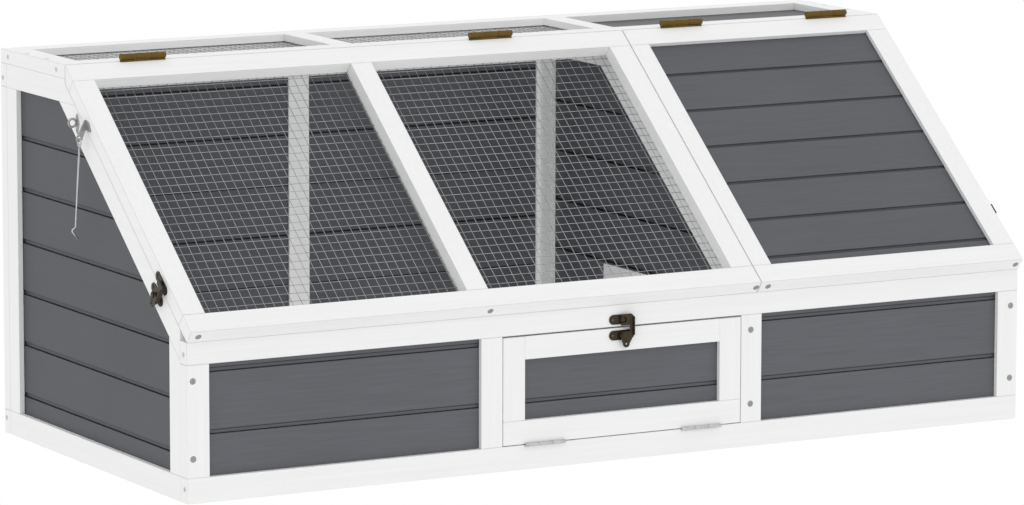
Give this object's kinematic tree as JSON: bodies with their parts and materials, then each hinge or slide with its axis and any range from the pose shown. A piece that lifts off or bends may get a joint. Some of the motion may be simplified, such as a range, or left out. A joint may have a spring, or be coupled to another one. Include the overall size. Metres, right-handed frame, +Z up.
{
  "type": "tortoise enclosure",
  "caption": "White wooden tortoise enclosure with grey lapped boards, a mesh run, a boarded bedroom, sloping lids and a drop-down front door.",
  "frame": {"origin": "on the ground, under the middle of the whole object", "axes": "+X along the front from the mesh run to the bedroom, +Y from the front to the back, +Z up"},
  "size_m": [1.244, 0.5538, 0.507],
  "materials": {
    "frame": "satin white paint",
    "boards": "satin grey paint",
    "mesh": "galvanised",
    "lid_hinge": "antique bronze",
    "door_hinge": "zinc plated",
    "latch": "dark bronze",
    "stay": "zinc plated"
  },
  "bodies": {
    "enclosure": {"back_boards": "boards", "back_posts": "frame", "back_rails": "frame", "door_hinge_fixed_leaves": "door_hinge", "frame_latch_plates": "latch", "front_base_rail": "frame", "front_left_boards": "boards", "front_posts": "frame", "front_right_boards": "boards", "front_top_rail": "frame", "left_side_boards": "boards", "left_side_rails": "frame", "left_side_stiles": "frame", "left_slanted_rail": "frame", "lid_hinge_fixed_leaves": "lid_hinge", "partition_boards": "boards", "partition_rails": "frame", "partition_slanted_rail": "frame", "partition_stiles": "frame", "right_side_boards": "boards", "right_side_rails": "frame", "right_side_stiles": "frame", "right_slanted_rail": "frame", "roof_boards": "boards", "roof_cross_rails": "frame", "roof_end_caps": "frame", "roof_left_net": "mesh", "roof_middle_net": "mesh", "roof_rails": "frame", "stay_eye_plates": "stay"},
    "mesh_lid": {"mesh_lid_edge_fittings": "latch", "mesh_lid_hinge_leaves": "lid_hinge", "mesh_lid_left_net": "mesh", "mesh_lid_rails": "frame", "mesh_lid_right_net": "mesh", "mesh_lid_stiles": "frame"},
    "solid_lid": {"solid_lid_boards": "boards", "solid_lid_edge_fittings": "latch", "solid_lid_hinge_leaves": "lid_hinge", "solid_lid_rails": "frame", "solid_lid_stiles": "frame"},
    "door": {"door_boards": "boards", "door_hinge_leaves": "door_hinge", "door_latch_plate": "latch", "door_rails": "frame", "door_stiles": "frame"},
    "front_latch": {"front_latch_lever": "latch"},
    "left_latch": {"left_latch_lever": "latch"},
    "right_latch": {"right_latch_lever": "latch"},
    "left_stay": {"left_stay_hook": "stay"},
    "right_stay": {"right_stay_hook": "stay"}
  },
  "joints": [
    {"name": "mesh_lid_hinge", "type": "hinge", "parent": "enclosure", "child": "mesh_lid", "pos_m": [-0.19925, 0.07934, 0.503], "axis": [-1, 0, 0], "range_deg": [0, 120]},
    {"name": "solid_lid_hinge", "type": "hinge", "parent": "enclosure", "child": "solid_lid", "pos_m": [0.40125, 0.07934, 0.503], "axis": [-1, 0, 0], "range_deg": [0, 120]},
    {"name": "door_hinge", "type": "hinge", "parent": "enclosure", "child": "door", "pos_m": [0.007, -0.26666, 0.0315], "axis": [1, 0, 0], "range_deg": [0, 98]},
    {"name": "front_latch_pivot", "type": "hinge", "parent": "door", "child": "front_latch", "pos_m": [0.004, -0.27006, 0.159], "axis": [0, 1, 0], "range_deg": [0, 90]},
    {"name": "left_latch_pivot", "type": "hinge", "parent": "enclosure", "child": "left_latch", "pos_m": [-0.606, -0.18401, 0.24535], "axis": [1, 0, 0], "range_deg": [0, 90]},
    {"name": "right_latch_pivot", "type": "hinge", "parent": "enclosure", "child": "right_latch", "pos_m": [0.606, -0.18401, 0.24535], "axis": [-1, 0, 0], "range_deg": [0, 90]},
    {"name": "left_stay_swing", "type": "hinge", "parent": "mesh_lid", "child": "left_stay", "pos_m": [-0.61, 0.01694, 0.408], "axis": [-1, 0, 0], "range_deg": [-105, 90]},
    {"name": "right_stay_swing", "type": "hinge", "parent": "solid_lid", "child": "right_stay", "pos_m": [0.61, 0.01694, 0.408], "axis": [-1, 0, 0], "range_deg": [-105, 90]}
  ]
}
